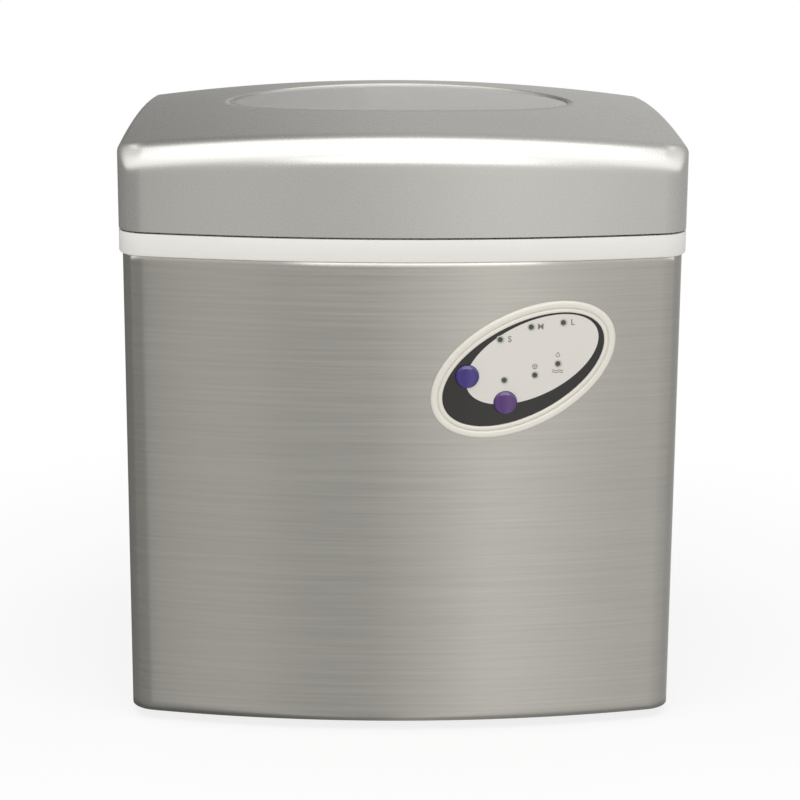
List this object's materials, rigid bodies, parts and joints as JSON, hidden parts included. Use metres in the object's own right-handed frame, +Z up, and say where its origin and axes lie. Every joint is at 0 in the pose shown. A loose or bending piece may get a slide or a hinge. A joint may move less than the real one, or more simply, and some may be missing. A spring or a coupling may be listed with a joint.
{
  "type": "countertop ice maker",
  "caption": "Countertop ice maker: steel-wrapped cabinet, bowed front, hinged windowed lid, oval control panel, lift-out basket and freezing mechanism",
  "frame": {"origin": "middle of the bounding box's bottom face, on the worktop under the feet", "axes": "+Z up, -Y out of the front, +X to the right of someone facing the front"},
  "size_m": [0.404, 0.346, 0.4408],
  "materials": {
    "wrap_steel": "brushed sideways, satin",
    "lid_paint": "silver metallic paint, satin",
    "band_white": "moulded white, slight sheen",
    "rear_grey": "grey powder coat",
    "pan_zinc": "zinc plated",
    "foot_rubber": "matt black",
    "screw_steel": "zinc plated",
    "window_clear": "smoked translucent plastic",
    "trim_bright": "bright rim",
    "liner_white": "moulded white",
    "tank_white": "food-grade white plastic",
    "foam": "rigid foam",
    "basket_clear": "translucent grey plastic",
    "sensor_black": "infra-red black",
    "nickel": "nickel plated",
    "copper": "drawn copper",
    "tray_grey": "moulded grey",
    "bezel_cream": "glossy cream",
    "panel_black": "gloss black",
    "face_cream": "satin printed face",
    "led_dark": "unlit lens",
    "button_violet": "glossy blue-violet",
    "board_green": "solder mask",
    "compressor_black": "black enamel",
    "fin_aluminium": "rolled",
    "fan_black": "moulded black",
    "brass": "machined",
    "hose_clear": "silicone",
    "core_steel": "varnished laminations"
  },
  "bodies": {
    "housing": {"wrap_shell": "wrap_steel", "rear_panel": "rear_grey", "rear_screws": "screw_steel", "base_pan": "pan_zinc", "rubber_feet": "foot_rubber", "foot_screws": "screw_steel", "top_frame": "band_white", "hinge_pins": "screw_steel", "lid_bumpers": "foot_rubber", "inner_tank": "tank_white", "tank_insulation": "foam", "ice_sensors": "sensor_black", "drain_pipe": "hose_clear", "evaporator_tube": "copper", "freezing_fingers": "nickel", "evaporator_hanger": "tray_grey", "ice_chute": "tray_grey", "tray_side_plates": "tray_grey", "tray_motor": "fan_black", "control_bezel": "bezel_cream", "panel_plate": "panel_black", "panel_face": "face_cream", "led_lenses": "led_dark", "display_board": "board_green", "compressor": "compressor_black", "compressor_grommets": "foot_rubber", "compressor_bolts": "screw_steel", "terminal_cover": "fan_black", "condenser_tube": "copper", "condenser_fins": "fin_aluminium", "fan_shroud": "fan_black", "fan_motor": "core_steel", "filter_drier": "copper", "liquid_pipe": "copper", "capillary_tube": "copper", "discharge_pipe": "copper", "suction_pipe": "copper", "hot_gas_valve": "brass", "hot_gas_coil": "fan_black", "hot_gas_pipe": "copper", "water_pump": "tank_white", "water_hose": "hose_clear", "control_board": "board_green", "board_standoffs": "tank_white", "transformer": "core_steel", "power_inlet": "fan_black"},
    "lid": {"lid_shell": "lid_paint", "lid_window": "window_clear", "window_trim": "trim_bright", "lid_liner": "liner_white"},
    "tray": {"water_tray": "tray_grey"},
    "shovel": {"ice_shovel": "tray_grey"},
    "basket": {"ice_basket": "basket_clear"},
    "power_key": {"power_button": "button_violet"},
    "select_key": {"select_button": "button_violet"},
    "fan": {"fan_rotor": "fan_black"},
    "impeller": {"pump_impeller": "fan_black"},
    "cap": {"drain_cap": "foot_rubber"}
  },
  "joints": [
    {"name": "lid_hinge", "type": "hinge", "parent": "housing", "child": "lid", "pos_m": [0, 0.166, 0.369], "axis": [-1, 0, 0], "range_deg": [0, 82]},
    {"name": "tray_tilt", "type": "hinge", "parent": "housing", "child": "tray", "pos_m": [0, 0.05, 0.312], "axis": [1, 0, 0], "range_deg": [0, 60]},
    {"name": "shovel_sweep", "type": "hinge", "parent": "housing", "child": "shovel", "pos_m": [0, 0.05, 0.312], "axis": [1, 0, 0], "range_deg": [0, 50]},
    {"name": "basket_lift", "type": "slide", "parent": "housing", "child": "basket", "axis": [0, 0, 1], "range_m": [0, 0.055]},
    {"name": "power_press", "type": "slide", "parent": "housing", "child": "power_key", "axis": [0, 1, 0], "range_m": [0, 0.0015], "stiffness_N_per_m": 800, "springref_m": -0.0012},
    {"name": "select_press", "type": "slide", "parent": "housing", "child": "select_key", "axis": [0, 1, 0], "range_m": [0, 0.0015], "stiffness_N_per_m": 800, "springref_m": -0.0012},
    {"name": "fan_spin", "type": "hinge", "parent": "housing", "child": "fan", "pos_m": [0.097, 0.102, 0.073], "axis": [0, 1, 0], "continuous": true},
    {"name": "pump_spin", "type": "hinge", "parent": "housing", "child": "impeller", "pos_m": [-0.02, 0, 0.118], "axis": [0, 0, 1], "continuous": true},
    {"name": "cap_pull", "type": "slide", "parent": "housing", "child": "cap", "axis": [0, 1, 0], "range_m": [0, 0.016]}
  ],
  "couplings": [
    {"joint": "shovel_sweep", "follows": "tray_tilt", "ratio": 0.8333}
  ]
}
